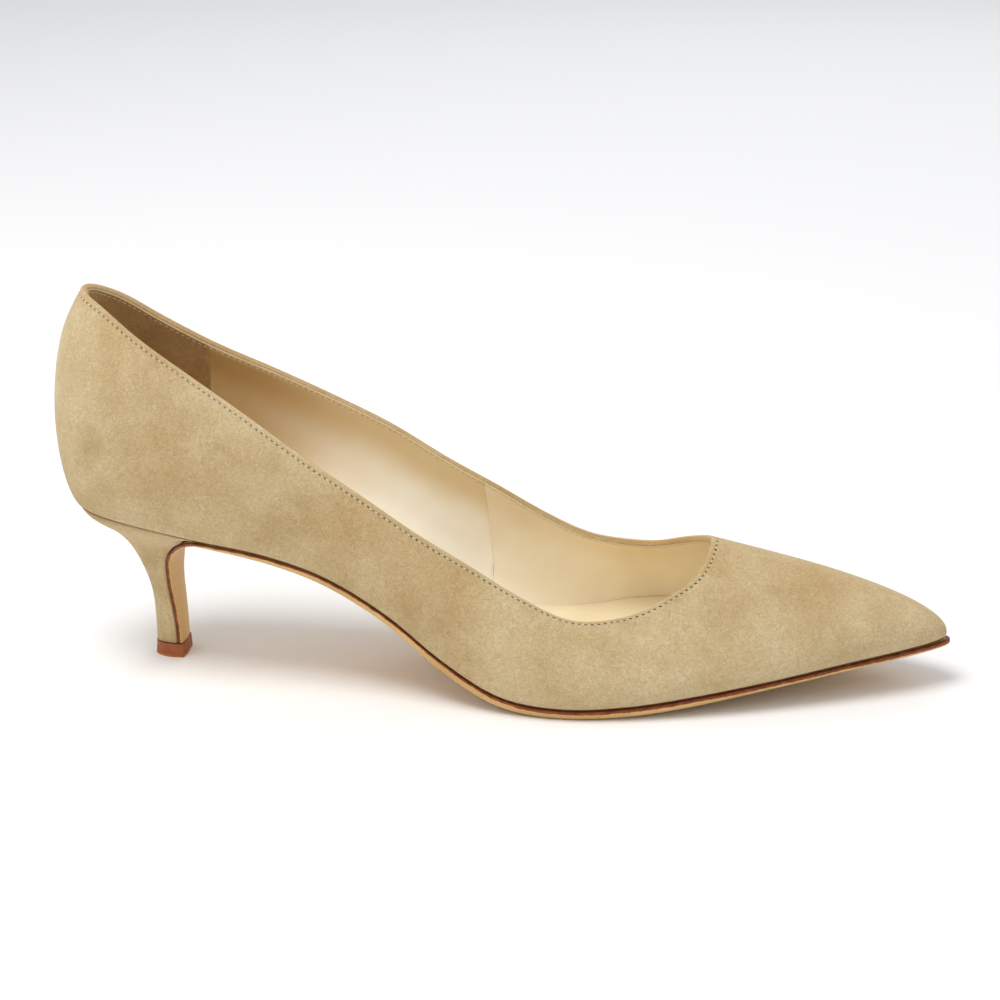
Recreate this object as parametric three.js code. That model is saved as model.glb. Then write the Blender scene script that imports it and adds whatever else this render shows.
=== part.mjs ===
// Kitten heel pump, a right shoe: pointed toe, low slender heel, suede upper, leather sole whose
// rear end runs on down the breast of the heel. Millimetres, +X to the toe, +Y to the inner side of
// the foot (medial), +Z up, standing on z = 0. The finished group is centred on x and y.
import * as THREE from "three";
import { mergeVertices } from "three/addons/utils/BufferGeometryUtils.js";

// Driving sizes
const sole_length = 245.4; // back of the heel seat to the tip of the toe, along the floor
const ball_width = 76; // outline at the ball, its lateral and medial shares added
const heel_height = 45.3; // floor to the back of the heel seat
const toe_spring = 9.9; // rise of the upper's bottom edge from the ball to the tip
const arch_rise = 2.5; // the medial bottom edge lies this much higher in the waist
const back_height = 61; // heel seat to the topline at the back
const instep_height = 27.7; // bottom edge at the tip to the throat of the topline
const medial_rise = 6.8; // most that the inner topline lies above the outer one
const wall = 1.8; // suede and lining leather together
const clearance = 0.3; // between pieces that are cemented together
const sole_thickness = 3; // outsole at the ball
const edge_band = 1.4; // height of the sole edge's upright, painted part
const edge_round = 3.6; // the underside is rounded this far in from the edge
const sole_margin = 0.5; // the trimmed sole edge stands proud of the outline by this much
const tip_margin = 0.4; // and by this much more at the tip of the toe
const flap_margin = 0.15; // the sole's edge stands this proud of the covered heel
const tread_flat = 0.6; // depth to which the underside is worked flat at the tread
const flap_thickness = 1.2; // the sole's leather where it covers the heel breast
const insole_thickness = 2.6; // insole board and sock
const insole_taper = 0.5; // the insole's upper edge is drawn in by this much
const waist_crown = 0.8; // swell of the underside along its middle in the waist
const breast_crown = 0.7; // swell of the heel breast along its middle
const top_piece_height = 3.8;
const top_piece_margin = 0.1; // the top piece stands proud of the heel tip by this much
const top_piece_flare = 0.2; // and is this much wider again at the floor
const stem_width = 10; // heel just above the top piece
const stem_depth = 7.1; // back of the heel there to the sole's flap

// Counts of facets
const steps_per_section = 4;
const wall_steps = 10;
const flap_steps = 18;
const across_steps = 6;
const arc_steps = 24;

const table = (names, rows) =>
  rows.map((row) => Object.fromEntries(names.split(" ").map((name, i) => [name, row[i]])));

// The upper's bottom edge, one row for each section from the back of the heel to the tip of the
// toe. at is a share of sole_length, lateral and medial are shares of ball_width out from the axis,
// lift a share of the heel's rise, spring of toe_spring, arch of arch_rise. sole is the outsole's
// thickness there as a share of sole_thickness.
const bottom_rows = table("at lateral medial lift spring arch sole", [
  [0.006, 0.000, 0.000, 1.000, 0.00, 0.0, 0.60],
  [0.015, 0.118, 0.113, 0.996, 0.00, 0.0, 0.60],
  [0.037, 0.200, 0.188, 0.990, 0.00, 0.0, 0.60],
  [0.078, 0.267, 0.250, 0.970, 0.00, 0.0, 0.60],
  [0.163, 0.292, 0.270, 0.884, 0.00, 0.1, 0.60],
  [0.234, 0.299, 0.257, 0.818, 0.00, 0.4, 0.84],
  [0.307, 0.318, 0.242, 0.697, 0.00, 0.8, 1.02],
  [0.381, 0.362, 0.255, 0.478, 0.00, 1.0, 1.06],
  [0.446, 0.421, 0.303, 0.220, 0.00, 0.8, 1.07],
  [0.511, 0.480, 0.363, 0.040, 0.00, 0.3, 1.04],
  [0.580, 0.508, 0.438, 0.000, 0.00, 0.0, 1.00],
  [0.654, 0.476, 0.478, 0.000, 0.08, 0.0, 1.00],
  [0.727, 0.401, 0.450, 0.000, 0.26, 0.0, 0.98],
  [0.804, 0.295, 0.368, 0.000, 0.47, 0.0, 0.93],
  [0.886, 0.161, 0.263, 0.000, 0.70, 0.0, 0.88],
  [0.951, 0.051, 0.174, 0.000, 0.86, 0.0, 0.82],
  [0.983, -0.008, 0.118, 0.000, 0.97, 0.0, 0.78],
  [0.996, -0.063, 0.063, 0.000, 1.00, 0.0, 0.75],
]);
// The topline over the same sections: at, lateral and medial as above. Its height over the lateral
// bottom edge is back times back_height and instep times instep_height, added. inner is the share
// of medial_rise by which the medial side is higher.
const top_rows = table("at lateral medial back instep inner", [
  [0.019, 0.000, 0.000, 1.000, 0.000, 0.00],
  [0.027, 0.086, 0.083, 0.989, 0.000, -0.05],
  [0.053, 0.151, 0.147, 0.944, 0.000, -0.12],
  [0.095, 0.204, 0.195, 0.844, 0.000, -0.12],
  [0.154, 0.243, 0.226, 0.756, 0.000, 0.02],
  [0.220, 0.283, 0.255, 0.639, 0.000, 0.40],
  [0.287, 0.320, 0.279, 0.549, 0.000, 0.81],
  [0.354, 0.355, 0.303, 0.543, 0.000, 0.98],
  [0.417, 0.386, 0.329, 0.450, 0.265, 0.88],
  [0.474, 0.408, 0.353, 0.300, 0.605, 0.78],
  [0.529, 0.418, 0.374, 0.120, 0.790, 0.71],
  [0.580, 0.407, 0.380, 0.000, 0.825, 0.70],
  [0.621, 0.378, 0.370, 0.000, 0.742, 0.58],
  [0.660, 0.337, 0.337, 0.000, 0.722, 0.45],
  [0.692, 0.276, 0.267, 0.000, 0.755, 0.44],
  [0.715, 0.204, 0.178, 0.000, 0.801, 0.45],
  [0.727, 0.109, 0.086, 0.000, 0.888, 0.25],
  [0.731, 0.013, -0.013, 0.000, 1.000, 0.00],
]);
// How the wall swells between its two edges: swell is a share of the wall's own height, start
// and end are the powers with which it rises from the sole edge and falls to the topline.
const wall_rows = table("swell start end", [
  [0.303, 0.68, 0.66],
  [0.303, 0.67, 0.67],
  [0.292, 0.65, 0.69],
  [0.265, 0.61, 0.72],
  [0.232, 0.57, 0.76],
  [0.215, 0.55, 0.79],
  [0.205, 0.54, 0.82],
  [0.205, 0.53, 0.84],
  [0.215, 0.52, 0.86],
  [0.235, 0.50, 0.88],
  [0.265, 0.48, 0.89],
  [0.290, 0.46, 0.90],
  [0.290, 0.43, 0.92],
  [0.270, 0.40, 0.95],
  [0.240, 0.37, 0.99],
  [0.214, 0.35, 1.03],
  [0.200, 0.37, 1.07],
  [0.196, 0.39, 1.10],
]);

// The sole's flap and the heel behind it, from the section where the sole leaves the upper down to
// the top piece. ahead (flap) and rear (back of the heel) are shares of the seat's length forward
// of its back, half is the share of the way out from the stem's half width to the seat's, high and
// rear_high are shares of the way up from the top piece to the seat, crown of breast_crown.
// square is the power of the heel's rounding in plan.
const breast_row = 4;
const lip_row = breast_row * 0.98; // the heel's top ends here, as a thin lip over the flap
const breast_rows = table("ahead half high rear rear_high square crown", [
  [1.000, 1.000, 1.000, 0.000, 1.000, 2.4, 0.0],
  [0.915, 0.855, 0.974, 0.055, 0.940, 2.4, 0.1],
  [0.825, 0.650, 0.920, 0.138, 0.888, 2.4, 0.3],
  [0.752, 0.476, 0.855, 0.248, 0.826, 2.3, 0.5],
  [0.698, 0.360, 0.775, 0.352, 0.734, 2.3, 0.7],
  [0.676, 0.265, 0.684, 0.425, 0.615, 2.3, 0.9],
  [0.672, 0.145, 0.513, 0.492, 0.450, 2.2, 1.0],
  [0.686, 0.084, 0.359, 0.521, 0.305, 2.2, 0.9],
  [0.702, 0.030, 0.194, 0.527, 0.160, 2.2, 0.7],
  [0.712, 0.000, 0.000, 0.530, 0.000, 2.2, 0.5],
]);
// The sole's edge in section, from its upper face down: in is a share of edge_round drawn in from
// the margin, band a share of the painted band's height and rest of the thickness below it.
const edge_rows = table("in band rest", [
  [0.03, 0.00, 0.00],
  [0.00, 0.55, 0.00],
  [0.08, 1.00, 0.00],
  [0.25, 1.00, 0.50],
  [0.55, 1.00, 0.84],
  [1.00, 1.00, 1.00],
]);

const vector = (x, y, z) => new THREE.Vector3(x, y, z);
const down = vector(0, 0, -1);
const { lerp, smoothstep } = THREE.MathUtils;

// A curve through one point for each row, from row 0 to the last. The plain kind carries shares
// and powers, which then don't depend on any length.
const rowCurve = (rows, pointOf, kind = "centripetal") =>
  new THREE.CatmullRomCurve3(rows.map(pointOf), false, kind);

// A closed loop round the shoe: the lateral points from back to tip, then the medial ones back.
function loopOf(rows, pointOf, kind = "centripetal") {
  const lateral = rows.map((row, i) => pointOf(row, -1, i));
  const medial = rows.map((row, i) => pointOf(row, 1, i)).slice(1, -1).reverse();
  return new THREE.CatmullRomCurve3([...lateral, ...medial], true, kind);
}

const sections = bottom_rows.length - 1;
const loop_rows = 2 * sections;
const columns = loop_rows * steps_per_section;
const shareOfRow = (row) => row / loop_rows;
const mirrored = (share) => (1 - share) % 1;

function bottomPoint(row, side) {
  const out = side < 0 ? -row.lateral : row.medial;
  const arch = side < 0 ? 0 : row.arch * arch_rise;
  const rise = row.lift * (heel_height - sole_thickness) + row.spring * toe_spring;
  return vector(row.at * sole_length, out * ball_width, sole_thickness + rise + arch);
}

function topPoint(row, side, i) {
  const out = side < 0 ? -row.lateral : row.medial;
  const inner = side < 0 ? 0 : row.inner * medial_rise;
  const rise = row.back * back_height + row.instep * instep_height + inner;
  return vector(row.at * sole_length, out * ball_width, bottomPoint(bottom_rows[i], -1).z + rise);
}

const bottom_loop = loopOf(bottom_rows, bottomPoint);
const top_loop = loopOf(top_rows, topPoint);
const wall_loop = loopOf(
  wall_rows,
  (row) => vector(row.swell, row.start, row.end),
  "catmullrom",
);
const sole_shares = loopOf(bottom_rows, (row) => vector(row.sole, 0, 0), "catmullrom");

// Unit vector out of the bottom outline, level with the floor.
function outward(share) {
  const along = bottom_loop.getTangent(share);
  return vector(along.y, -along.x, 0).normalize();
}

// A closed body from rings of points, each ring anticlockwise as seen from the end that it grows
// to. A wrapped body joins its last ring to its first, any other is capped at both ends.
function loft(rings, wrapped) {
  const count = rings[0].length;
  const faces = [];
  const bands = wrapped ? rings.length : rings.length - 1;
  for (let i = 0; i < bands; i++) {
    const next = ((i + 1) % rings.length) * count;
    for (let j = 0; j < count; j++) {
      const a = i * count + j;
      const b = i * count + ((j + 1) % count);
      const c = next + j;
      const d = next + ((j + 1) % count);
      faces.push(a, b, d, a, d, c);
    }
  }
  if (!wrapped) {
    const base = (rings.length - 1) * count;
    faces.push(...capOf(rings[0]).reverse());
    faces.push(...capOf(rings[rings.length - 1]).map((k) => k + base));
  }
  return closedGeometry(rings.flat(), faces);
}

// An end ring's triangles, found on the plane that shows it largest. A ring that has run together
// into a line or a point has none.
function capOf(ring) {
  const area = vector(0, 0, 0);
  ring.forEach((p, i) => {
    const q = ring[(i + 1) % ring.length];
    area.add(p.clone().sub(ring[0]).cross(q.clone().sub(ring[0])));
  });
  if (area.length() < 0.01) return [];
  const normal = area.normalize();
  const across = vector(0, 1, 0).cross(normal).normalize();
  const up = normal.clone().cross(across);
  const flat = ring.map((p) => new THREE.Vector2(p.dot(across), p.dot(up)));
  return THREE.ShapeUtils.triangulateShape(flat, []).flat();
}

function closedGeometry(points, faces) {
  const loose = new THREE.BufferGeometry();
  const numbers = points.flatMap((p) => [p.x, p.y, p.z]);
  loose.setAttribute("position", new THREE.Float32BufferAttribute(numbers, 3));
  loose.setIndex(faces);
  const merged = mergeVertices(loose, 1e-3);
  const index = merged.index.array;
  const kept = [];
  for (let i = 0; i < index.length; i += 3) {
    const [a, b, c] = [index[i], index[i + 1], index[i + 2]];
    if (a !== b && b !== c && c !== a) kept.push(a, b, c);
  }
  merged.setIndex(kept);
  merged.computeVertexNormals();
  return merged;
}

// Upper: one hollow wall from the sole edge up to the topline, open at both.
const climb_power = 1.7; // rows lie closer together near the sole edge
const rim_round = 0.3; // height of the rounded topline as a share of the wall

function wallPoint(share, v) {
  const low = bottom_loop.getPoint(share);
  const rise = top_loop.getPoint(share).sub(low);
  const { x: swell, y: start, z: end } = wall_loop.getPoint(share);
  const along = bottom_loop.getTangent(share).add(top_loop.getTangent(share));
  const out = along.cross(rise).normalize();
  const climb = v ** climb_power;
  const proud = swell * rise.length() * climb ** start * (1 - climb) ** end;
  return low.addScaledVector(rise, climb).addScaledVector(out, proud);
}

function upperRings() {
  const outer = Array.from({ length: wall_steps + 1 }, (_, j) =>
    Array.from({ length: columns }, (_, i) => wallPoint(i / columns, j / wall_steps)),
  );
  const inner = outer.map((ring, j) =>
    ring.map((p, i) => {
      if (j === 0) return p.clone().addScaledVector(outward(i / columns), -wall);
      const around = ring[(i + 1) % columns].clone().sub(ring[(i + columns - 1) % columns]);
      const up = outer[Math.min(j + 1, wall_steps)][i].clone().sub(outer[j - 1][i]);
      return p.clone().addScaledVector(around.cross(up).normalize(), -wall);
    }),
  );
  const rim = outer[wall_steps].map((p, i) => {
    const up = p.clone().sub(outer[wall_steps - 1][i]).normalize();
    return p.clone().lerp(inner[wall_steps][i], 0.5).addScaledVector(up, rim_round * wall);
  });
  return [...outer, rim, ...inner.reverse()];
}

// Shares of the bottom loop for the sections of a piece that runs along the shoe.
function stationShares(from_row, to_row) {
  const steps = Math.abs(to_row - from_row) * steps_per_section;
  return Array.from({ length: steps + 1 }, (_, k) =>
    shareOfRow(lerp(from_row, to_row, k / steps)),
  );
}

// Insole: a plate inside the wall, following the bottom of the last from heel to toe.
function insoleRings() {
  const inset = wall + clearance;
  const corner = (share, in_by, high) =>
    bottom_loop.getPoint(share).addScaledVector(outward(share), -in_by).addScaledVector(down, -high);
  return stationShares(0, sections).map((share) => [
    corner(share, inset, 0),
    corner(mirrored(share), inset, 0),
    corner(mirrored(share), inset + insole_taper, insole_thickness),
    corner(share, inset + insole_taper, insole_thickness),
  ]);
}

// The sole's flap: its edges, from the breast section down to just above the top piece.
const seat_back = bottom_rows[0].at * sole_length;
const seat_length = bottom_rows[breast_row].at * sole_length - seat_back;
const stem_base = top_piece_height + clearance;
const stem_row = breast_rows[breast_rows.length - 1];

function flapPoint(row, side) {
  const seat = bottomPoint(bottom_rows[breast_row], side);
  const half = lerp(stem_width / 2, Math.abs(seat.y), row.half);
  const drawn_depth = (stem_row.ahead - stem_row.rear) * seat_length;
  const stretch = lerp(stem_depth / drawn_depth, 1, row.high);
  const ahead = stem_row.rear + (row.ahead - stem_row.rear) * stretch;
  const high = lerp(stem_base, seat.z - clearance, row.high);
  return vector(seat_back + ahead * seat_length, side * half, high);
}

const flap_lateral = rowCurve(breast_rows, (row) => flapPoint(row, -1));
const flap_medial = rowCurve(breast_rows, (row) => flapPoint(row, 1));
const breast_shares = rowCurve(
  breast_rows,
  (row) => vector(row.crown, row.square, 0),
  "catmullrom",
);

// Where the flap is at a share of its run: both edges, the way through the leather and the crown.
function flapFrame(share) {
  const along = flap_lateral.getTangent(share);
  const through = vector(-along.z, 0, along.x).normalize();
  if (share === 1) through.set(1, 0, 0);
  return {
    edges: [flap_lateral.getPoint(share), flap_medial.getPoint(share)],
    through,
    crown: breast_shares.getPoint(share).x * breast_crown,
  };
}

// Points between two ends, bowed by an arch of the given height.
const bowed = (from, to, direction, height) =>
  Array.from({ length: across_steps - 1 }, (_, k) => {
    const u = (k + 1) / across_steps;
    return from.clone().lerp(to, u).addScaledVector(direction, 4 * u * (1 - u) * height);
  });

// One ring of the outsole. edges are the lateral and medial ends of its upper face, outs the ways
// out of the outline there, through the way down through the leather.
function soleRing({ edges, outs, margin, spread, through, thick, upper_crown, under_crown }) {
  const band = Math.min(edge_band, 0.7 * thick);
  const [lateral, medial] = edges.map((edge, k) =>
    edge_rows.map((row) =>
      edge
        .clone()
        .addScaledVector(outs[k], margin - row.in * edge_round * spread)
        .addScaledVector(through, lerp(row.band * band, thick, row.rest)),
    ),
  );
  const under = bowed(lateral.at(-1), medial.at(-1), through, under_crown);
  const upper = bowed(medial[0], lateral[0], through, upper_crown);
  return [...lateral, ...under, ...medial.reverse(), ...upper];
}

const tread_row = 10; // the section at the ball where the shoe stands
const tread_reach = 1.6; // sections either way over which the underside is worked flat

function bodyRing(share) {
  const row = share * loop_rows;
  const step = shareOfRow(0.12);
  const ahead = bottom_loop.getPoint(Math.min(share + step, 0.5));
  const behind = bottom_loop.getPoint(share - step);
  const slope = vector(ahead.x - behind.x, 0, ahead.z - behind.z).normalize();
  const tread = 1 - smoothstep(Math.abs(row - tread_row), tread_reach, 2 * tread_reach);
  const ring = soleRing({
    edges: [share, mirrored(share)].map((s) =>
      bottom_loop.getPoint(s).addScaledVector(down, clearance),
    ),
    outs: [outward(share), outward(mirrored(share))],
    margin: sole_margin + tip_margin * smoothstep(row, sections - 1.5, sections),
    spread: 1,
    through: vector(slope.z, 0, -slope.x),
    thick: sole_shares.getPoint(share).x * sole_thickness - clearance + tread * tread_flat,
    upper_crown: 0,
    under_crown: waist_crown * Math.sin(Math.PI * smoothstep(row, breast_row, tread_row)),
  });
  ring.forEach((p) => {
    p.z = Math.max(p.z, 0);
  });
  return ring;
}

function flapRing(share) {
  const { edges, through, crown } = flapFrame(share);
  const begun = smoothstep(share, 0, 0.35);
  return soleRing({
    edges,
    outs: [vector(0, -1, 0), vector(0, 1, 0)],
    margin: lerp(sole_margin, flap_margin, begun),
    spread: lerp(1, 0.35, begun),
    through,
    thick: lerp(bottom_rows[breast_row].sole * sole_thickness - clearance, flap_thickness, begun),
    upper_crown: crown,
    under_crown: crown,
  });
}

function outsoleRings() {
  const body = stationShares(breast_row, sections).map(bodyRing).reverse();
  const flap = Array.from({ length: flap_steps }, (_, k) => flapRing((k + 1) / flap_steps));
  return [...body, ...flap].reverse();
}

// Heel: a covered block, its seat under the upper's bottom edge, its breast behind the flap.
const seatPoint = (share) => bottom_loop.getPoint(share).addScaledVector(down, clearance);

// The seat's outline from the medial lip round the back to the lateral lip.
const seat_arc = Array.from({ length: arc_steps + 1 }, (_, k) => {
  const share = shareOfRow(lip_row) * (-1 + (2 * k) / arc_steps);
  return seatPoint((share + 1) % 1);
});

const rears = rowCurve(breast_rows, (row) =>
  vector(
    seat_back + row.rear * seat_length,
    0,
    lerp(stem_base, heel_height - clearance, row.rear_high),
  ),
);

// A ring of the heel: along its front, behind the flap, then round its back. The seat's own
// outline fades into a rounded D over the first part of the way down.
function heelRing(share) {
  const { edges, through, crown } = flapFrame(share);
  const front = edges.map((p) => p.clone().addScaledVector(through, -clearance));
  const rear = rears.getPoint(share);
  const square = breast_shares.getPoint(share).y;
  const lip = seat_arc[arc_steps];
  const faded = smoothstep(share, 0, 0.4);
  const arc = seat_arc.map((seat) => {
    const corner = front[seat.y < 0 ? 0 : 1];
    const wide = seat.y / Math.abs(seat_arc[seat.y < 0 ? arc_steps : 0].y);
    const deep = Math.max(0, (lip.x - seat.x) / (lip.x - seat_back));
    const round = (Math.abs(wide) ** square + deep ** square) ** (-1 / square);
    const u = wide * lerp(1, round, faded);
    const v = deep * lerp(1, round, faded);
    const middle = (front[0].y + front[1].y) / 2;
    const y = lerp(middle * (1 - Math.abs(u)), corner.y, Math.abs(u));
    return vector(lerp(corner.x, rear.x, v), y, lerp(corner.z, rear.z, v));
  });
  return [front[0], ...bowed(front[0], front[1], through, crown), ...arc.slice(0, -1)];
}

function heelRings() {
  const rings = [];
  for (let k = flap_steps; k >= 1; k--) rings.push(heelRing(k / flap_steps));
  const lateral_lip = seat_arc[arc_steps];
  const medial_lip = seat_arc[0];
  const seat_front = bowed(lateral_lip, medial_lip, down, 0);
  rings.push([lateral_lip, ...seat_front, ...seat_arc.slice(0, -1)]);
  const middle = (p, q) => p.clone().add(q).multiplyScalar(0.5).setY(0);
  const spine = seat_arc.map((p, k) => middle(p, seat_arc[arc_steps - k]));
  const spine_front = seat_front.map(() => spine[0].clone());
  rings.push([spine[arc_steps], ...spine_front, ...spine.slice(0, -1)]);
  return rings;
}

// Top piece: the replaceable rubber lift under the heel and the end of the flap.
function topPieceRing(high, margin) {
  const { edges, crown } = flapFrame(1);
  const front = edges[0].x + flap_thickness + margin;
  const half = Math.abs(edges[0].y) + flap_margin + margin;
  const rear = seat_back + stem_row.rear * seat_length - margin;
  const middle = edges[0].x;
  const ends = [vector(front, -half, high), vector(front, half, high)];
  const arc = Array.from({ length: arc_steps + 1 }, (_, k) => {
    const turn = (Math.PI * k) / arc_steps;
    const wide = Math.cos(turn);
    const deep = Math.sin(turn);
    const { square } = stem_row;
    const round = (Math.abs(wide) ** square + deep ** square) ** (-1 / square);
    return vector(lerp(middle, rear, deep * round), half * wide * round, high);
  });
  return [ends[0], ...bowed(ends[0], ends[1], vector(1, 0, 0), crown), ends[1], ...arc];
}

const finish = (color, roughness) =>
  new THREE.MeshStandardMaterial({ color, roughness, metalness: 0 });
const part = new THREE.Group();

function addPiece(name, geometry, material) {
  const mesh = new THREE.Mesh(geometry, material);
  mesh.name = name;
  part.add(mesh);
}

const top_piece_rings = [
  topPieceRing(0, top_piece_margin + top_piece_flare),
  topPieceRing(top_piece_height, top_piece_margin),
];
addPiece("upper", loft(upperRings(), true), finish(0xcbb589, 0.95));
addPiece("insole", loft(insoleRings(), false), finish(0xe3cc9c, 0.45));
addPiece("outsole", loft(outsoleRings(), false), finish(0xd6b684, 0.6));
addPiece("heel", loft(heelRings(), false), finish(0xcbb589, 0.95));
addPiece("top_piece", loft(top_piece_rings, false), finish(0x7a4630, 0.7));

const centre = new THREE.Box3().setFromObject(part).getCenter(vector(0, 0, 0));
part.position.set(-centre.x, -centre.y, 0);
export default part;
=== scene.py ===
# Kitten heel pump in beige suede, standing empty on a pale sweep. The sections follow the shoe as
# it is put together: upper, its topline, lining, sock, outsole, heel and top piece.
import math

import bmesh
import bpy
from mathutils import Matrix, Vector, kdtree, noise
from mathutils.bvhtree import BVHTree


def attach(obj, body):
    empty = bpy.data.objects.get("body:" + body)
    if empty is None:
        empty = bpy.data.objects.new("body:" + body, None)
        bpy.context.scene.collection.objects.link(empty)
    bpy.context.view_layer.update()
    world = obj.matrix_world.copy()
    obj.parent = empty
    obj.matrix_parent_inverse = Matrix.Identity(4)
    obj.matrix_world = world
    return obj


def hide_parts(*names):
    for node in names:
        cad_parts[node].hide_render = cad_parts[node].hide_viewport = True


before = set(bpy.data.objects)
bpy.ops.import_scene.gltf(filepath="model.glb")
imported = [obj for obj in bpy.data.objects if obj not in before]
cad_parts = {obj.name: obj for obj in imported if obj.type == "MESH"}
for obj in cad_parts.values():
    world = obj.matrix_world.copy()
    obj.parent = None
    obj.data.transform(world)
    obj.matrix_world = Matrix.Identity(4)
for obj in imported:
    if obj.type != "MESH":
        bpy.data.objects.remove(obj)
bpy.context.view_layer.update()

# The studio: a matt paper floor, one broad soft light above and in front of the toe, a weaker one
# on the left, white all round, and the camera where the photograph was taken from.
mm = 0.001
aim = Vector((-0.12, 0.93, 48.9)) * mm
azimuth = math.radians(7.5)
elevation = math.radians(17.5)
camera_distance = 750 * mm
away = Vector(
    (
        math.sin(azimuth) * math.cos(elevation),
        -math.cos(azimuth) * math.cos(elevation),
        math.sin(elevation),
    )
)
scene = bpy.context.scene
camera = bpy.data.objects.new("camera", bpy.data.cameras.new("camera"))
camera.data.sensor_width = 36
camera.data.lens = 97.74
camera.location = aim + away * camera_distance
camera.rotation_euler = away.to_track_quat("Z", "Y").to_euler()
scene.collection.objects.link(camera)
scene.camera = camera
scene.view_settings.view_transform = "Standard"


def put(tree, kind, sockets=None, **settings):
    """Adds a shader node, sets what is named and fills or links its sockets."""
    node = tree.nodes.new("ShaderNode" + kind)
    for name, value in settings.items():
        setattr(node, name, value)
    for name, value in (sockets or {}).items():
        if isinstance(value, bpy.types.NodeSocket):
            tree.links.new(value, node.inputs[name])
        else:
            node.inputs[name].default_value = value
    return node


def tone(red, green, blue):
    """A colour as it looks on the screen, 0 to 255, as the shader wants it."""
    linear = [((c / 255 + 0.055) / 1.055) ** 2.4 if c > 10 else c / 3295 for c in (red, green, blue)]
    return (*linear, 1)


def fade(tree, value, start, end, first=0.0, last=1.0):
    """A soft step: first up to start, last from end on."""
    return put(
        tree,
        "MapRange",
        {"Value": value, "From Min": start, "From Max": end, "To Min": first, "To Max": last},
        interpolation_type="SMOOTHSTEP",
    ).outputs[0]


def reckon(tree, operation, first, second=0.0):
    """The outcome of one sum."""
    return put(tree, "Math", {0: first, 1: second}, operation=operation).outputs[0]


def mixed(tree, share, first, second, how="MIX"):
    """The first colour with so great a share of the second laid over it."""
    return put(tree, "Mix", {0: share, 6: first, 7: second}, data_type="RGBA", blend_type=how).outputs[2]


def speckle(tree, place, scale, detail=2.0, roughness=0.5, distortion=0.0):
    """A cloudy pattern between 0 and 1, its scale counted per metre."""
    return put(
        tree,
        "TexNoise",
        {"Vector": place, "Scale": scale, "Detail": detail, "Roughness": roughness, "Distortion": distortion},
    ).outputs[0]


def new_finish(name, **constants):
    """A material with its Principled shader; the constants go on the shader's own sockets."""
    material = bpy.data.materials.new(name)
    material.use_nodes = True
    shader = material.node_tree.nodes["Principled BSDF"]
    for socket, value in constants.items():
        shader.inputs[socket.replace("_", " ")].default_value = value
    return material, material.node_tree, shader


def dress(tree, shader, color, roughness, height, depth):
    """Links colour, roughness and a bump of the given depth to the shader."""
    bump = put(tree, "Bump", {"Height": height, "Distance": depth, "Strength": 1.0})
    for name, value in (("Base Color", color), ("Roughness", roughness), ("Normal", bump.outputs[0])):
        if isinstance(value, bpy.types.NodeSocket):
            tree.links.new(value, shader.inputs[name])
        else:
            shader.inputs[name].default_value = value


paper, tree, shader = new_finish("paper floor", Specular_IOR_Level=0.2)
place = put(tree, "TexCoord").outputs["Object"]
fibre = speckle(tree, place, 900)
dress(tree, shader, mixed(tree, fibre, tone(244, 245, 246), tone(248, 248, 249)), 0.9, fibre, 0.05 * mm)
floor_mesh = bmesh.new()
bmesh.ops.create_circle(floor_mesh, cap_ends=True, segments=96, radius=4)
floor = bpy.data.objects.new("floor", bpy.data.meshes.new("floor"))
floor_mesh.to_mesh(floor.data)
floor.data.materials.append(paper)
scene.collection.objects.link(floor)

for name, where, size, power, color in (
    ("key light", (-0.35, -0.3, 1.3), 0.8, 12, (1.0, 0.98, 0.95)),
    ("fill light", (-0.7, -1.2, 0.9), 1.0, 1.2, (0.98, 0.99, 1.0)),
    ("rim light", (0.2, 1.3, 1.0), 1.0, 3, (1.0, 1.0, 1.0)),
):
    lamp = bpy.data.objects.new(name, bpy.data.lights.new(name, "AREA"))
    lamp.data.shape = "DISK"
    lamp.data.size = size
    lamp.data.energy = power
    lamp.data.color = color
    lamp.location = where
    lamp.rotation_euler = (Vector(where) - aim).to_track_quat("Z", "Y").to_euler()
    scene.collection.objects.link(lamp)
scene.world = bpy.data.worlds.new("white room")
scene.world.use_nodes = True
scene.world.node_tree.nodes["Background"].inputs["Color"].default_value = (0.97, 0.98, 1.0, 1)
scene.world.node_tree.nodes["Background"].inputs["Strength"].default_value = 0.6

# Upper: one piece of goat suede, drawn over the last, its topline skived, folded over the lining
# and rolled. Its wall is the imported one, squared into rows that follow the topline, with more
# rows below the fold for the groove that the thread pulls in.
roll_rows = (0.45, 0.95, 1.4, 1.85, 2.5)
roll_push = (0.05, 0.02, -0.16, 0.02, 0.02)
stitch_row = 2
stitch_pitch = 1.75 * mm
dip_x = 30 * mm
dip_reach = 24 * mm
dip = 0.8 * mm
dip_depth = 12 * mm


def eased(share):
    """A share held between 0 and 1, with a soft start and a soft end."""
    share = min(1.0, max(0.0, share))
    return share * share * (3 - 2 * share)


def merged_copy(node_name):
    """The node's surface as one closed skin."""
    skin = bmesh.new()
    skin.from_mesh(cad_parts[node_name].data)
    bmesh.ops.remove_doubles(skin, verts=skin.verts, dist=0.001 * mm)
    return skin


def spokes_of(vert):
    """The edges at a vertex, one after the other round it."""
    loop = first = vert.link_loops[0]
    spokes = []
    while not spokes or loop is not first:
        spokes.append(loop.edge)
        loop = loop.link_loop_prev.link_loop_radial_next
    return spokes


def run_from(vert, edge):
    """The vertices met by going straight on, each time by the edge opposite, until it closes."""
    run = [vert]
    while True:
        vert = edge.other_vert(vert)
        if vert is run[0]:
            return run
        run.append(vert)
        spokes = spokes_of(vert)
        edge = spokes[(spokes.index(edge) + len(spokes) // 2) % len(spokes)]


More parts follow.
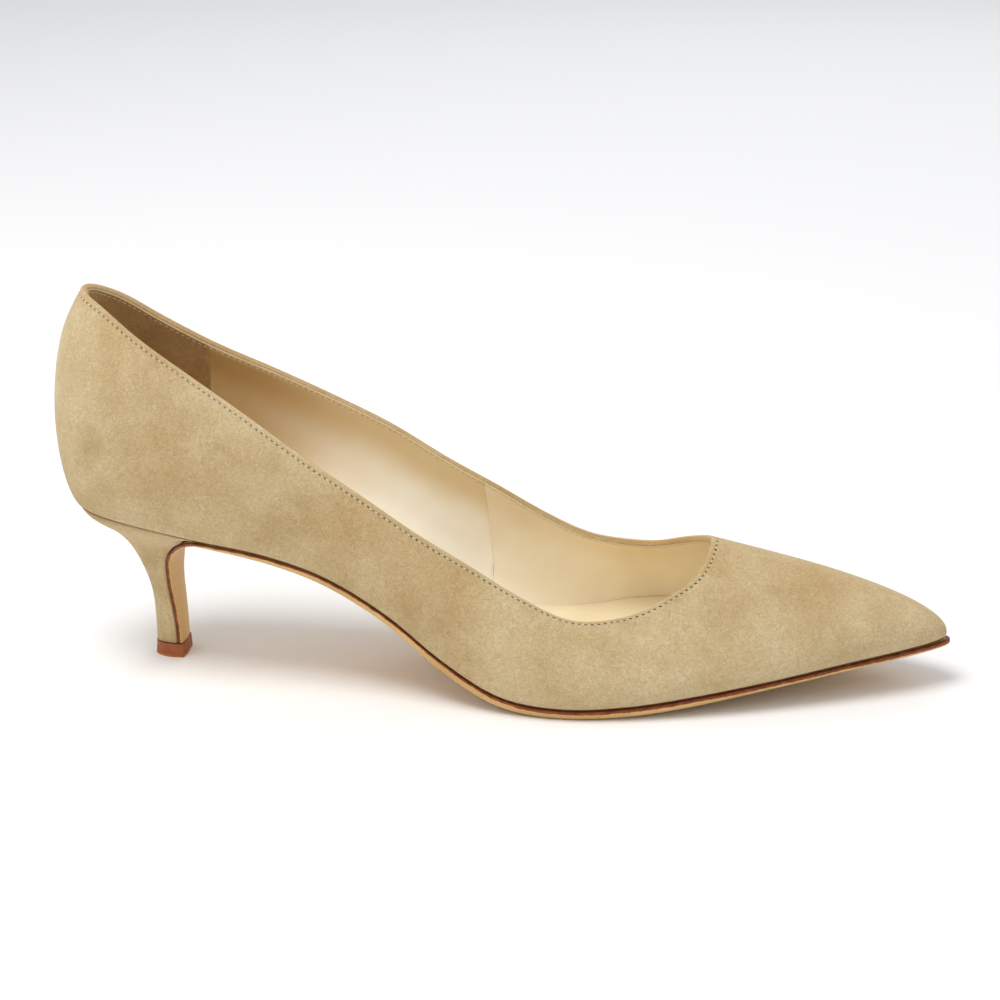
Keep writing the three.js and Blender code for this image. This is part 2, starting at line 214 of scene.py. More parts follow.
def drop_diagonals(skin, start):
    """Turns a skin with six edges at every vertex into one of four-sided faces. The diagonals
    are the edges that wind on and on where the others close after one round."""
    kinds = {start.link_edges[0]: 0}
    waiting = [start]
    seen = {start}
    while waiting:
        vert = waiting.pop()
        spokes = spokes_of(vert)
        known = next(k for k, edge in enumerate(spokes) if edge in kinds)
        known_kind = kinds[spokes[known]]
        for k, edge in enumerate(spokes):
            kinds[edge] = (known_kind + k - known) % 3
            other = edge.other_vert(vert)
            if other not in seen:
                seen.add(other)
                waiting.append(other)
    winding = max(start.link_edges, key=lambda e: len(run_from(start, e)))
    bmesh.ops.dissolve_edges(skin, edges=[e for e, kind in kinds.items() if kind == kinds[winding]])


def wall_columns(skin):
    """For each place along the topline, back first and lateral side next, the vertices from the
    crest of the rim down outside and up again inside."""
    top = max(skin.verts, key=lambda v: v.co.z)
    crest = run_from(top, min(top.link_edges, key=lambda e: e.other_vert(top).co.y))
    columns = []
    for k, vert in enumerate(crest):
        ahead = crest[(k + 1) % len(crest)]
        behind = crest[k - 1]
        out = (ahead.co - behind.co).cross(Vector((0, 0, 1)))
        across = [e for e in vert.link_edges if e.other_vert(vert) not in (ahead, behind)]
        first = max(across, key=lambda e: (e.other_vert(vert).co - vert.co).dot(out))
        columns.append(run_from(vert, first))
    return columns


wall = merged_copy("upper")
back_top = max(wall.verts, key=lambda v: v.co.z)
drop_diagonals(wall, back_top)
plain_columns = wall_columns(wall)
cut = []
for column in plain_columns:
    for near, far in ((column[1], column[2]), (column[-1], column[-2])):
        cut.append(next(e for e in near.link_edges if e.other_vert(near) is far))
ends = [[column[k].co.copy() for k in (1, 2, -1, -2)] for column in plain_columns]
bmesh.ops.subdivide_edges(wall, edges=cut, cuts=len(roll_rows), use_grid_fill=True)
columns = wall_columns(wall)
wall.normal_update()
pushes = []
for column, (out_top, out_low, in_top, in_low) in zip(columns, ends):
    for k, (depth, push) in enumerate(zip(roll_rows, roll_push)):
        for vert, high, low in ((column[2 + k], out_top, out_low), (column[-2 - k], in_top, in_low)):
            room = min(1.0, 0.92 * (low - high).length / (roll_rows[-1] * mm))
            vert.co = high + (low - high).normalized() * depth * room * mm
            pushes.append((vert, push * mm))
wall.normal_update()
for vert, push in pushes:
    vert.co += vert.normal * push
wall.verts.index_update()
rows = [[column[k].index for column in columns] for k in range(len(columns[0]))]
outer_stitches = 2 + stitch_row
inner_stitches = len(rows) - 2 - stitch_row
first_inner = len(rows) // 2 + 1

wall.verts.ensure_lookup_table()
steps = [
    (wall.verts[b].co - wall.verts[a].co).length
    for a, b in zip(rows[outer_stitches], rows[outer_stitches][1:] + rows[outer_stitches][:1])
]
topline = sum(steps)
stitch_count = round(topline / stitch_pitch)
shares = [sum(steps[:k]) / topline for k in range(len(steps) + 1)]
depths = {}
for column in columns:
    outside = column[:first_inner]
    inside = [column[0]] + column[: first_inner - 1 : -1]
    for side in (outside, inside):
        down = 0.0
        for above, vert in zip(side[:1] + side, side):
            down += (vert.co - above.co).length
            depths[vert.index] = down
spot = {index: k for row in rows for k, index in enumerate(row)}
for column in columns:
    for vert in column:
        if vert.co.y < 0 and depths[vert.index] < dip_depth:
            near = eased(1 - abs(vert.co.x - dip_x) / dip_reach)
            vert.co.z -= dip * near * (1 - depths[vert.index] / dip_depth)
topline_uv = wall.loops.layers.uv.new("topline")
for face in wall.faces:
    places = [spot[v.index] for v in face.verts]
    wraps = max(places) - min(places) > 2
    for loop in face.loops:
        k = spot[loop.vert.index]
        k = len(shares) - 1 if wraps and k == 0 else k
        loop[topline_uv].uv = (shares[k], depths[loop.vert.index])


def new_group(name, inputs, outputs):
    """A shader group; gives the tree, what comes in and what goes out."""
    group = bpy.data.node_groups.new(name, "ShaderNodeTree")
    for socket, kind, value in inputs:
        made = group.interface.new_socket(socket, in_out="INPUT", socket_type="NodeSocket" + kind)
        if value is not None:
            made.default_value = value
    for socket, kind in outputs:
        group.interface.new_socket(socket, in_out="OUTPUT", socket_type="NodeSocket" + kind)
    return group, group.nodes.new("NodeGroupInput").outputs, group.nodes.new("NodeGroupOutput").inputs


def weighed(tree, first, share, second):
    """Two values together, the first by its share and the second by the rest."""
    return reckon(
        tree, "ADD", reckon(tree, "MULTIPLY", first, share), reckon(tree, "MULTIPLY", second, 1 - share)
    )


def stirred(tree, value, pattern, amount):
    """A value made uneven by so much of a pattern, which goes up and down round 0.5."""
    sway = reckon(tree, "SUBTRACT", pattern, 0.5)
    return reckon(tree, "ADD", value, reckon(tree, "MULTIPLY", sway, amount))


# Suede: nap brushed this way and that leaves soft lighter and darker patches over fine fibres.
nap, given, wanted = new_group(
    "suede nap",
    [
        ("Place", "Vector", None),
        ("Light", "Color", tone(208, 187, 147)),
        ("Dark", "Color", tone(189, 160, 113)),
        ("Patchiness", "Float", 1.0),
    ],
    [("Color", "Color"), ("Roughness", "Float"), ("Height", "Float")],
)
between_fibres = (0.8, 0.785, 0.74, 1)
fibre_ends = (1.14, 1.15, 1.17, 1)
broad = speckle(nap, given["Place"], 30, 2.0, 0.4, 0.3)
patch = speckle(nap, given["Place"], 85, 2.0, 0.45, 0.4)
tuft = speckle(nap, given["Place"], 850, 5.0, 0.8, 1.6)
fibre = speckle(nap, given["Place"], 2600, 2.0, 0.6, 0.4)
brushed = stirred(nap, 0.5, weighed(nap, broad, 0.55, patch), given["Patchiness"])
napped = mixed(nap, fade(nap, brushed, 0.34, 0.66), given["Dark"], given["Light"])
grain = weighed(nap, tuft, 0.75, fibre)
relief = mixed(nap, fade(nap, grain, 0.36, 0.64), between_fibres, fibre_ends)
nap.links.new(mixed(nap, 1.0, napped, relief, "MULTIPLY"), wanted["Color"])
nap.links.new(fade(nap, grain, 0.3, 0.7, 0.86, 1.0), wanted["Roughness"])
nap.links.new(grain, wanted["Height"])

# Pinholes: the needle's holes between the stitches, from the topline map.
hole_core = 0.2 * mm
hole_edge = 0.4 * mm
pinholes, given, wanted = new_group(
    "pinholes",
    [
        ("Topline", "Vector", None),
        ("Count", "Float", 100.0),
        ("Pitch", "Float", 2 * mm),
        ("Row", "Float", 2 * mm),
    ],
    [("Mask", "Float")],
)
split = put(pinholes, "SeparateXYZ", {0: given["Topline"]})
beat = reckon(pinholes, "PINGPONG", reckon(pinholes, "MULTIPLY", split.outputs[0], given["Count"]), 0.5)
aside = reckon(pinholes, "MULTIPLY", beat, given["Pitch"])
off_row = reckon(pinholes, "SUBTRACT", split.outputs[1], given["Row"])
square = reckon(pinholes, "MULTIPLY", aside, aside)
square = reckon(pinholes, "ADD", square, reckon(pinholes, "MULTIPLY", off_row, off_row))
off_hole = reckon(pinholes, "SQRT", square)
pinholes.links.new(fade(pinholes, off_hole, hole_core, hole_edge, 1.0, 0.0), wanted["Mask"])

# Rubbed place: where the nap was pressed down by handling, a soft blot with an uneven edge.
# Each has its centre and radius in mm, and how far it shows.
blot, given, wanted = new_group(
    "rubbed place",
    [("Place", "Vector", None), ("Centre", "Vector", None), ("Radius", "Float", 10 * mm)],
    [("Mask", "Float")],
)
between = put(blot, "VectorMath", {0: given["Place"], 1: given["Centre"]}, operation="DISTANCE")
apart = reckon(blot, "DIVIDE", between.outputs["Value"], given["Radius"])
apart = stirred(blot, apart, speckle(blot, given["Place"], 170, 3.0, 0.55), 1.0)
blot.links.new(fade(blot, apart, 0.45, 1.1, 1.0, 0.0), wanted["Mask"])
pressed_nap = (0.9, 0.87, 0.82, 1)
rubbed_places = (
    ((-110, -20, 68), 6, 1.0),
    ((-112, -17, 62), 5, 0.7),
    ((-56, -25, 48), 10, 0.8),
    ((-16, -33, 25), 10, 0.7),
    ((34, -31, 22), 9, 0.6),
    ((61, -20, 28), 8, 0.6),
    ((81, -10, 29), 7, 0.5),
    ((107, -5, 22), 7, 0.7),
    ((97, -14, 16), 7, 0.6),
)

row_depth = sum(depths[index] for index in rows[outer_stitches]) / len(columns)
suede_sheen = tone(245, 232, 205)


def suede_finish(name, light, dark, patchiness, **constants):
    """A suede material with its nap, still to be linked to its shader."""
    finish, tree, shader = new_finish(name, Sheen_Roughness=0.5, Specular_IOR_Level=0.15, **constants)
    place = put(tree, "TexCoord").outputs["Object"]
    sockets = {"Place": place, "Light": light, "Dark": dark, "Patchiness": patchiness}
    return finish, tree, shader, place, put(tree, "Group", sockets, node_tree=nap).outputs


def needle_holes(tree, topline_map):
    """Where the stitches' holes are on a piece that has the topline map."""
    pitch = topline / stitch_count
    sockets = {"Topline": topline_map, "Count": stitch_count, "Pitch": pitch, "Row": row_depth}
    return put(tree, "Group", sockets, node_tree=pinholes).outputs[0]


suede, tree, shader, place, fur = suede_finish(
    "suede upper", tone(208, 187, 147), tone(189, 160, 113), 0.8, Sheen_Weight=0.35, Sheen_Tint=suede_sheen
)
color = fur["Color"]
for centre, radius, strength in rubbed_places:
    sockets = {"Place": place, "Centre": [c * mm for c in centre], "Radius": radius * mm}
    pressed = put(tree, "Group", sockets, node_tree=blot).outputs[0]
    color = mixed(tree, reckon(tree, "MULTIPLY", pressed, strength), color, pressed_nap, "MULTIPLY")
# The fold shows ochre where the nap is worn off it, and along the row of stitches the suede gets painted
# shade for the groove the thread pulls in.
topline_map = put(tree, "UVMap", uv_map="topline").outputs[0]
below = put(tree, "SeparateXYZ", {0: topline_map}).outputs[1]
color = mixed(tree, fade(tree, below, 0.2 * mm, 0.65 * mm, 0.75, 0.0), color, tone(186, 142, 82))
# Painted shade along the stitch groove.
off_row = reckon(tree, "ABSOLUTE", reckon(tree, "SUBTRACT", below, row_depth))
color = mixed(tree, fade(tree, off_row, 0.0, 0.5 * mm, 0.35, 0.0), color, tone(168, 142, 98))
# The open needle holes get painted shade; the nap closes over some of the holes, and over most of them
# towards the heel.
holes = needle_holes(tree, topline_map)
open_hole = fade(tree, speckle(tree, place, 330), 0.35, 0.65, 0.45, 0.95)
from_heel = put(tree, "SeparateXYZ", {0: place}).outputs[0]
open_hole = reckon(tree, "MULTIPLY", open_hole, fade(tree, from_heel, -80 * mm, -20 * mm, 0.5, 1.0))
color = mixed(tree, reckon(tree, "MULTIPLY", holes, open_hole), color, tone(62, 50, 34))
height = reckon(tree, "SUBTRACT", fur["Height"], reckon(tree, "MULTIPLY", holes, 1.5))
dress(tree, shader, color, fur["Roughness"], height, 0.3 * mm)


def subdivide(piece, levels):
    """Rounds a piece between its faces."""
    smooth = piece.modifiers.new("smooth", "SUBSURF")
    smooth.levels = smooth.render_levels = levels


def shoe_piece(name, skin, material, levels=0):
    """Makes a smooth shaded piece of the shoe from a skin."""
    mesh = bpy.data.meshes.new(name)
    skin.to_mesh(mesh)
    if "custom_normal" in mesh.attributes:
        mesh.attributes.remove(mesh.attributes["custom_normal"])
    mesh.materials.clear()
    mesh.materials.append(material)
    mesh.shade_smooth()
    piece = bpy.data.objects.new(name, mesh)
    scene.collection.objects.link(piece)
    if levels:
        subdivide(piece, levels)
    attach(piece, "root")
    return piece


upper = shoe_piece("suede_upper", wall, suede, levels=2)
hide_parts("upper")

# Lining: thin smooth goatskin inside the wall, in two parts. The quarters' part laps over the
# vamp's a little behind the ball and is glazed; the vamp's is duller. Both end under the fold.
lap_x = -8 * mm
lap_width = 3 * mm
lap_lean = 0.1
lean_height = 50 * mm
quarter_proud = 0.3
vamp_proud = 0.14
lining_thickness = 0.45
bowl_height = 19.0
bowl_reach = 8.0
bowl_full_x = -12 * mm
bowl_end_x = 22 * mm
# Painted shade on the linings: darker towards the heel, where the back of the shoe shades the inside.
heel_shade_x = -58 * mm
heel_shade_fade = 24 * mm
board_places = [vert.co.copy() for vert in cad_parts["insole"].data.vertices]
seat_rim = kdtree.KDTree(len(board_places))
for index, corner in enumerate(board_places):
    seat_rim.insert((corner.x, corner.y, 0), index)
seat_rim.balance()


def seat_height(place):
    """Height of the insole's upper edge beside a place on the wall."""
    near = seat_rim.find_n((place.x, place.y, 0), 6)
    return max(board_places[index].z for _, index, _ in near)


def bowl_share(x):
    """How fully the foot of the wall is rolled in: wholly at the seat and waist, not at the ball."""
    return 1 - eased((x - bowl_full_x) / (bowl_end_x - bowl_full_x))


def bowl(sheet):
    """Rolls the sheet's foot in over the insole, as pulled over leather lies in the corner."""
    moves = []
    for vert in sheet.verts:
        high = (vert.co.z - seat_height(vert.co)) / mm
        if high < bowl_height:
            reach = bowl_reach * (1 - max(high, 0.0) / bowl_height) ** 2
            inward = Vector((vert.normal.x, vert.normal.y, 0)).normalized()
            moves.append((vert, inward * reach * mm * bowl_share(vert.co.x)))
    for vert, move in moves:
        vert.co += move


def lining_sheet(proud, back_of=None, front_of=None, lean=0.0):
    """The inside of the wall as a sheet standing proud of it, trimmed square at its ends."""
    sheet = wall.copy()
    sheet.verts.ensure_lookup_table()
    outside = [sheet.verts[index] for row in rows[:first_inner] + rows[-1:] for index in row]
    lift = [(v, v.normal * proud * mm) for v in sheet.verts]
    for vert, move in lift:
        vert.co += move
    bmesh.ops.delete(sheet, geom=outside, context="VERTS")
    bowl(sheet)
    for x, way in ((back_of, 1), (front_of, -1)):
        if x is not None:
            bmesh.ops.bisect_plane(
                sheet,
                geom=sheet.verts[:] + sheet.edges[:] + sheet.faces[:],
                plane_co=(x, 0, lean_height),
                plane_no=(way, 0, lean * way),
                clear_outer=True,
                dist=0.0001 * mm,
            )
    return sheet


def lined(name, sheet, material):
    """A piece of leather made from a sheet, as thick as the lining and grown inwards."""
    piece = shoe_piece(name, sheet, material)
    thick = piece.modifiers.new("thickness", "SOLIDIFY")
    thick.thickness = lining_thickness * mm
    thick.offset = -1
    subdivide(piece, 1)
    return piece


goat, given, wanted = new_group(
    "smooth goatskin",
    [
        ("Place", "Vector", None),
        ("Light", "Color", tone(232, 210, 168)),
        ("Dark", "Color", tone(221, 194, 148)),
        ("Gloss", "Float", 0.36),
    ],
    [("Color", "Color"), ("Roughness", "Float"), ("Height", "Float")],
)
cloud = speckle(goat, given["Place"], 40, 3.0, 0.5)
pore = put(goat, "TexVoronoi", {"Vector": given["Place"], "Scale": 1900.0}, feature="F1").outputs[0]
crease = speckle(goat, given["Place"], 160, 3.0, 0.5, 0.6)
goat.links.new(mixed(goat, fade(goat, cloud, 0.35, 0.65), given["Dark"], given["Light"]), wanted["Color"])
goat.links.new(stirred(goat, given["Gloss"], crease, 0.06), wanted["Roughness"])
goat.links.new(weighed(goat, pore, 0.25, crease), wanted["Height"])


def goat_finish(name, light, dark, gloss, **constants):
    """A goatskin material with its grain, still to be linked to its shader."""
    finish, tree, shader = new_finish(name, **constants)
    place = put(tree, "TexCoord").outputs["Object"]
    sockets = {"Place": place, "Light": light, "Dark": dark, "Gloss": gloss}
    return finish, tree, shader, place, put(tree, "Group", sockets, node_tree=goat).outputs


def lining_finish(name, light, dark, gloss, coat, topline_shade):
    """Goatskin with painted shade: darker round the heel, and darker in a band under the topline where the
    wall leans in.
    """
    finish, tree, shader, place, skin = goat_finish(
        name, light, dark, gloss, Coat_Weight=coat, Coat_Roughness=0.25
    )
    topline_map = put(tree, "UVMap", uv_map="topline").outputs[0]
    below = put(tree, "SeparateXYZ", {0: topline_map}).outputs[1]
    along = put(tree, "SeparateXYZ", {0: place}).outputs[0]
    # Painted shade towards the heel, left off the first few mm under the crest.
    heel_shade = fade(tree, along, heel_shade_x - heel_shade_fade, heel_shade_x + heel_shade_fade, 1.0, 0.0)
    heel_shade = reckon(tree, "MULTIPLY", heel_shade, fade(tree, below, 1.5 * mm, 4 * mm))
    color = mixed(tree, heel_shade, skin["Color"], tone(218, 192, 152), "MULTIPLY")
    # Painted shade in a band under the topline, where the wall leans in and faces down; its lower edge
    # wanders.
    below = reckon(tree, "ADD", below, reckon(tree, "MULTIPLY", speckle(tree, place, 24), 6 * mm))
    topline_shade = fade(tree, below, 9 * mm, 21 * mm, topline_shade, 0.0)
    color = mixed(tree, topline_shade, color, tone(226, 204, 164), "MULTIPLY")
    # Painted shade in the needle holes, weaker than on the suede.
    hole = reckon(tree, "MULTIPLY", needle_holes(tree, topline_map), 0.3)
    color = mixed(tree, hole, color, tone(112, 84, 52))
    dress(tree, shader, color, skin["Roughness"], skin["Height"], 0.08 * mm)
    return finish


glazed = lining_finish("glazed lining", tone(252, 243, 222), tone(247, 235, 210), 0.26, 0.8, 0.9)
dull = lining_finish("vamp lining", tone(250, 237, 209), tone(243, 226, 192), 0.38, 0.2, 0.3)
quarter_sheet = lining_sheet(quarter_proud, back_of=lap_x, lean=lap_lean)
vamp_sheet = lining_sheet(vamp_proud, front_of=lap_x - lap_width, lean=lap_lean)
quarter_lining = lined("quarter_lining", quarter_sheet, glazed)
vamp_lining = lined("vamp_lining", vamp_sheet, dull)

# Heel grip: a piece of suede glued over the lining at the back, nap outwards, so that the foot
# doesn't slip. Its front edges are cut straight down.
grip_x = -87 * mm
grip_proud = 0.6
grip_lean = -0.06
grip_suede, tree, shader, place, fur = suede_finish(
    "heel grip suede", tone(194, 158, 108), tone(170, 132, 84), 0.7, Sheen_Weight=0.2
)
dress(tree, shader, fur["Color"], fur["Roughness"], fur["Height"], 0.22 * mm)
heel_grip = lined("heel_grip", lining_sheet(grip_proud, back_of=grip_x, lean=grip_lean), grip_suede)

# Topline stitching: one row of lockstitch under the fold, cotton-wrapped thread a little lighter
# than the suede, showing as a short length between every two holes, outside and inside.
thread_radius = 0.17 * mm
thread_reach = 0.62
thread_flatness = 0.9
thread_proud = 0.03 * mm
thread_slant = Matrix.Rotation(math.radians(7), 4, "Z")
lying = Matrix.Rotation(math.radians(90), 4, "Y")
thread, tree, shader = new_finish("thread", Sheen_Weight=0.2, Specular_IOR_Level=0.25)
place = put(tree, "TexCoord").outputs["Object"]
strand = speckle(tree, place, 3800, 2.0, 0.6)
dress(tree, shader, mixed(tree, strand, tone(204, 186, 148), tone(232, 218, 186)), 0.75, strand, 0.05 * mm)


def surface_of(*pieces):
    """The pieces' finished surfaces together, for finding the nearest place on them."""
    depsgraph = bpy.context.evaluated_depsgraph_get()
    verts = []
    polygons = []
    for piece in pieces:
        mesh = piece.evaluated_get(depsgraph).to_mesh()
        base = len(verts)
        verts += [v.co.copy() for v in mesh.vertices]
        polygons += [[base + k for k in p.vertices] for p in mesh.polygons]
    return BVHTree.FromPolygons(verts, polygons)


row_places = {}
row_normals = {}
for row in (outer_stitches, inner_stitches):
    row_places[row] = [wall.verts[index].co.copy() for index in rows[row]]
    row_normals[row] = [wall.verts[index].normal.copy() for index in rows[row]]


def column_before(share):
    """The last column at or before a share of the topline."""
    return max(k for k in range(len(columns)) if shares[k] <= share)


def place_on_row(row, share):
    """A place along a row of the wall, by its share of the topline."""
    k = column_before(share)
    u = (share - shares[k]) / (shares[k + 1] - shares[k])
    return row_places[row][k].lerp(row_places[row][(k + 1) % len(columns)], u)


def stitch_run(name, row, carrier, lift):
    """One stitch between every two holes of a row, laid on the carrier's surface."""
    stitches = bmesh.new()
    length = thread_reach * stitch_pitch / 2 / thread_radius
    shape = thread_slant @ Matrix.Diagonal((length, 1, thread_flatness, 1)) @ lying
    for k in range(stitch_count):
        share = (k + 0.5) / stitch_count
        rough = place_on_row(row, share)
        along = (place_on_row(row, share + 0.1 / stitch_count) - rough).normalized()
        normal = row_normals[row][column_before(share)]
        found, out = carrier.find_nearest(rough + normal * lift)[:2]
        out = out if out.dot(normal) > 0 else -out
        turn = Matrix((along, out.cross(along).normalized(), out)).transposed().to_4x4()
        middle = Matrix.Translation(found + out * thread_proud)
        bmesh.ops.create_uvsphere(
            stitches, u_segments=7, v_segments=5, radius=thread_radius, matrix=middle @ turn @ shape
        )
    return shoe_piece(name, stitches, thread)


stitch_run("stitches_outside", outer_stitches, surface_of(upper), 0.1 * mm)
lining_walls = surface_of(quarter_lining, vamp_lining, heel_grip)
stitch_run("stitches_inside", inner_stitches, lining_walls, 0.7 * mm)

# Insole and sock: the board with its shank carries the shoe, and over it lies a full sock of the
# lining leather, cut a hair wider so that its edge bends up against the lining.
any_angle = 3.2
sock_cuts = 13
sock_rise = 0.35
cup_back = 1.2
cup_front = 3.6
cup_start = 14
cup_full = 38
cup_fall = 66
cup_end = 88
cup_width = 7
narrow_width = 22
seat_centre_x = -95 * mm
search_start = 14 * mm
search_length = 22 * mm
edge_tuck = 0.5 * mm
board, tree, shader = new_finish("insole board", Specular_IOR_Level=0.2)
place = put(tree, "TexCoord").outputs["Object"]
pulp = speckle(tree, place, 700, 4.0, 0.7)
dress(tree, shader, mixed(tree, pulp, tone(150, 116, 80), tone(178, 144, 104)), 0.9, pulp, 0.1 * mm)
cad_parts["insole"].material_slots[0].material = board

sock = merged_copy("insole")
sock.normal_update()
bmesh.ops.delete(sock, geom=[f for f in sock.faces if f.normal.z < 0.5], context="FACES")


def join_triangles(skin, bend):
    """Joins triangles two by two where the face is bent less than that."""
    bmesh.ops.join_triangles(
        skin,
        faces=skin.faces,
        angle_face_threshold=bend,
        angle_shape_threshold=any_angle,
        topology_influence=1.0,
    )


def runs_across(edge):
    """Whether an edge runs across the foot and not along it."""
    step = edge.verts[1].co - edge.verts[0].co
    return abs(step.y) > 4 * abs(step.x)


join_triangles(sock, any_angle)
crosswise = [edge for edge in sock.edges if runs_across(edge)]
bmesh.ops.subdivide_edges(sock, edges=crosswise, cuts=sock_cuts, use_grid_fill=True)
rim = [vert for vert in sock.verts if vert.is_boundary]


def to_middle(place, side):
    """Level direction from the sock's edge to the middle of the foot."""
    if place.x < seat_centre_x:
        return Vector((seat_centre_x - place.x, -place.y, 0)).normalized()
    return Vector((0, -side, 0))


# Its edge is laid against the lining; the rest follows, less and less towards the middle.
rim_moves = {}
for vert in rim:
    ahead = eased((vert.co.x / mm - cup_start) / (cup_full - cup_start))
    climb = cup_back + (cup_front - cup_back) * ahead
    climb *= min(1.0, max(0.0, (cup_end - vert.co.x / mm) / (cup_end - cup_fall)))
    edge = vert.co + Vector((0, 0, (sock_rise + climb) * mm))
    middle = to_middle(vert.co, 1 if vert.co.y > 0 else -1)
    foot_middle = Vector((max(vert.co.x, seat_centre_x), 0, vert.co.z))
    start = edge + middle * min(search_start, 0.9 * (vert.co - foot_middle).length)
    found = lining_walls.ray_cast(start, -middle, search_length)[0]
    inward = 0.0 if found is None else (found - edge).dot(middle) - edge_tuck
    rim_moves[vert] = (inward if vert.co.x / mm < cup_end else 0.0, climb * mm)
moves = []
for vert in sock.verts:
    near = min((v for v in rim if v.co.y * vert.co.y >= 0), key=lambda v: (v.co - vert.co).length)
    inset = (near.co - vert.co).length / mm
    inward, climb = rim_moves[near]
    inward *= max(0.0, 1 - inset / narrow_width) ** 2
    climb *= max(0.0, 1 - inset / cup_width) ** 2
    middle = to_middle(vert.co, 1 if near.co.y > 0 else -1)
    moves.append((vert, middle * inward + Vector((0, 0, sock_rise * mm + climb))))
for vert, move in moves:
    vert.co += move
cream, tree, shader, place, skin = goat_finish(
    "sock leather", tone(239, 226, 194), tone(231, 216, 180), 0.42, Coat_Weight=0.1, Coat_Roughness=0.3
)
dress(tree, shader, skin["Color"], skin["Roughness"], skin["Height"], 0.08 * mm)
lined("insole_sock", sock, cream)

# Outsole: vegetable tanned leather about 3 mm thick, skived at the waist and run on down the heel
# breast as a flap. Its edge is trimmed upright and painted brown; the underside is rounded in
# from the edge and left natural.
paint_flap = 0.8
paint_waist = 0.55
paint_front = 0.95
flat_bend = 0.6
flap_foot = 5.4 * mm
mark_step = 0.25 * mm


def crease_sharp(skin, angle, amount):
    """Creases the edges folded more than the angle, so that smoothing keeps them; gives them."""
    crease = skin.edges.layers.float.new("crease_edge")
    sharp = [e for e in skin.edges if e.is_manifold and e.calc_face_angle() > math.radians(angle)]
    for edge in sharp:
        edge[crease] = amount
    return sharp


sole = merged_copy("outsole")
from_edge = sole.verts.layers.float.new("from_edge")
sole.normal_update()
sharp = crease_sharp(sole, 60, 0.9)
# The paint is measured from the sharp upper edge, without the cut end at the foot of the flap.
upper_edge = [e for e in sharp if not all(v.co.x < -80 * mm and v.co.z < flap_foot for v in e.verts)]
marks = []
for edge in upper_edge:
    a, b = (v.co for v in edge.verts)
    count = max(1, round((b - a).length / mark_step))
    marks += [a.lerp(b, k / count) for k in range(count + 1)]
upper_line = kdtree.KDTree(len(marks))
for k, mark in enumerate(marks):
    upper_line.insert(mark, k)
upper_line.balance()
join_triangles(sole, flat_bend)
for vert in sole.verts:
    vert[from_edge] = upper_line.find(vert.co)[2]
leather, tree, shader = new_finish("sole leather", Specular_IOR_Level=0.3)
place = put(tree, "TexCoord").outputs["Object"]
cloud = speckle(tree, place, 30, 3.0, 0.6)
fibre = speckle(tree, put(tree, "Mapping", {"Vector": place, "Scale": (1, 3, 3)}).outputs[0], 420, 4.0, 0.65)
pore = speckle(tree, place, 2300, 2.0, 0.6)
grain = weighed(tree, fibre, 0.6, pore)
natural = mixed(tree, fade(tree, cloud, 0.35, 0.65), tone(206, 164, 100), tone(222, 184, 122))
natural = mixed(tree, fade(tree, grain, 0.35, 0.7, 0.0, 0.35), natural, tone(190, 150, 98))
inward = put(tree, "Attribute", attribute_name="from_edge").outputs["Fac"]
ragged = stirred(tree, inward, speckle(tree, place, 420, 4.0, 0.65), 0.8 * mm)
along = put(tree, "SeparateXYZ", {0: place}).outputs[0]
width = fade(tree, along, -15 * mm, 20 * mm, paint_waist * mm, paint_front * mm)
wider = fade(tree, along, -86 * mm, -76 * mm, (paint_flap - paint_waist) * mm, 0.0)
width = reckon(tree, "ADD", width, wider)
painted = fade(tree, reckon(tree, "SUBTRACT", ragged, width), -0.08 * mm, 0.08 * mm, 1.0, 0.0)
streak = fade(tree, speckle(tree, place, 500, 3.0, 0.6), 0.35, 0.65)
brown = mixed(tree, streak, tone(116, 54, 24), tone(152, 80, 38))
# Painted shade: the top of the edge is darkened where it meets the upper, for the crevice between upper and
# sole.
brown = mixed(tree, fade(tree, inward, 0.05 * mm, 0.3 * mm, 0.7, 0.0), brown, tone(62, 32, 18))
color = mixed(tree, painted, natural, brown)
rough = fade(tree, grain, 0.3, 0.7, 0.45, 0.62)
dress(tree, shader, color, rough, grain, 0.1 * mm)
outsole = shoe_piece("outsole_leather", sole, leather, levels=2)
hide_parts("outsole")

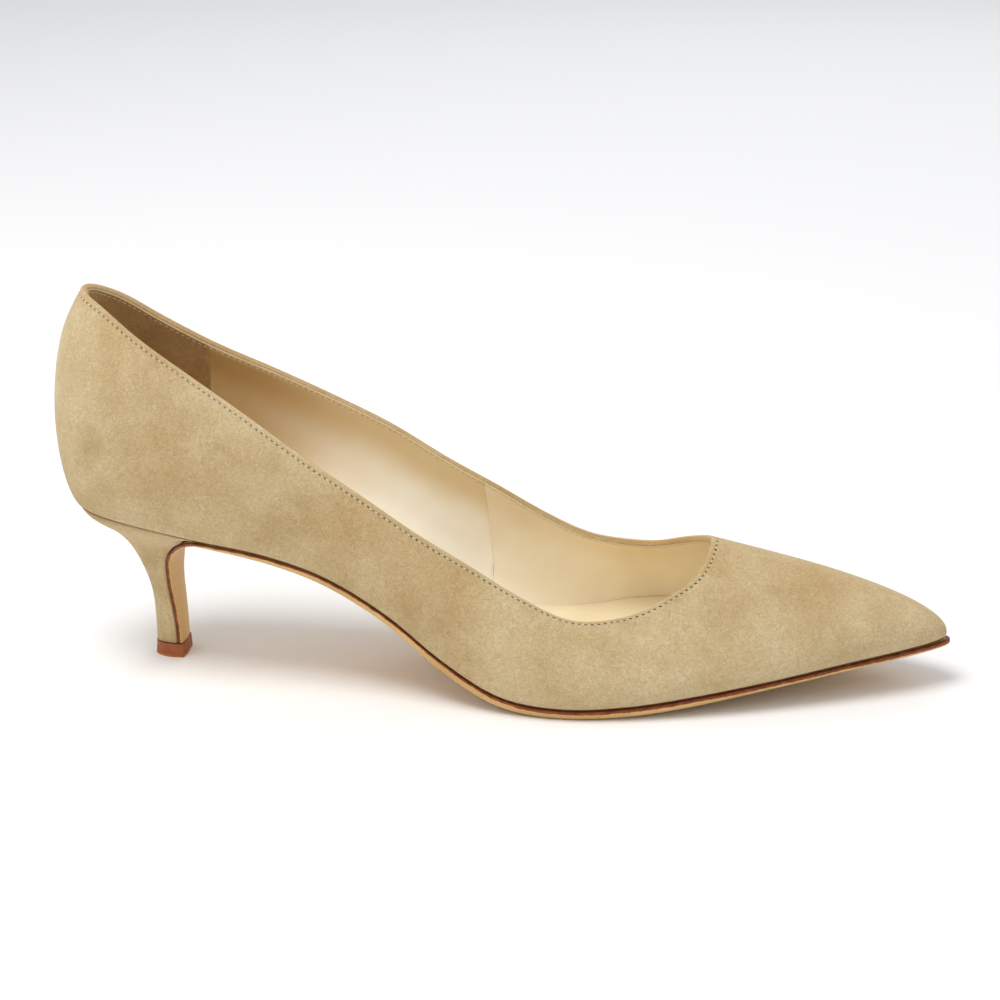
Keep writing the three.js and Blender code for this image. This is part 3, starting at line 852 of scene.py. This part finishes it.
# Heel: a moulded block covered with the suede of the upper, wrapped from the back and tucked in
# behind the sole's flap, so only its side edges along the flap show.
lip_lift = 0.2
block = merged_copy("heel")
block.normal_update()
for vert in block.verts:
    if vert.normal.z > 0.3 and vert.co.z > 30 * mm:
        vert.co.z += lip_lift * mm
block.normal_update()
crease_sharp(block, 50, 0.6)
join_triangles(block, flat_bend)
cover, tree, shader, place, fur = suede_finish(
    "suede heel cover",
    tone(205, 181, 138),
    tone(178, 150, 106),
    1.0,
    Sheen_Weight=0.35,
    Sheen_Tint=suede_sheen,
)
dress(tree, shader, fur["Color"], fur["Roughness"], fur["Height"], 0.22 * mm)
heel_cover = shoe_piece("heel_cover", block, cover, levels=1)
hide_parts("heel")

# Top piece: the brown rubber lift nailed under the heel. Cut from sheet, so its sides are plain
# and its walked edge is a little ragged and lighter.
worn_height = 2.2 * mm
lift_piece = merged_copy("top_piece")
lift_piece.normal_update()
upright = [e for e in lift_piece.edges if abs(e.verts[0].co.z - e.verts[1].co.z) > 2.5 * mm]
bmesh.ops.subdivide_edges(lift_piece, edges=upright, cuts=5)
for vert in lift_piece.verts:
    low = max(0.0, 1 - vert.co.z / worn_height)
    jag = noise.noise(vert.co * 900) * 0.35 + noise.noise(vert.co * 300) * 0.4
    out = Vector((vert.normal.x, vert.normal.y, 0))
    if out.length > 0.3:
        vert.co += out.normalized() * jag * low * 0.5 * mm
rubber, tree, shader = new_finish("top piece rubber", Specular_IOR_Level=0.35)
place = put(tree, "TexCoord").outputs["Object"]
high = put(tree, "SeparateXYZ", {0: place}).outputs[2]
cloud = speckle(tree, place, 260, 3.0, 0.6)
pit = speckle(tree, place, 1800, 3.0, 0.7)
ragged = stirred(tree, high, cloud, 1.5 * mm)
color = mixed(tree, fade(tree, cloud, 0.3, 0.7), tone(146, 80, 42), tone(166, 96, 54))
color = mixed(tree, fade(tree, ragged, 0.2 * mm, 0.8 * mm, 0.8, 0.0), color, tone(188, 112, 58))
dress(tree, shader, color, fade(tree, pit, 0.3, 0.7, 0.5, 0.68), pit, 0.08 * mm)
top_piece = shoe_piece("top_piece_rubber", lift_piece, rubber)
edges = top_piece.modifiers.new("edges", "BEVEL")
edges.width = 0.2 * mm
edges.segments = 2
edges.limit_method = "ANGLE"
edges.angle_limit = math.radians(50)
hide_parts("top_piece")
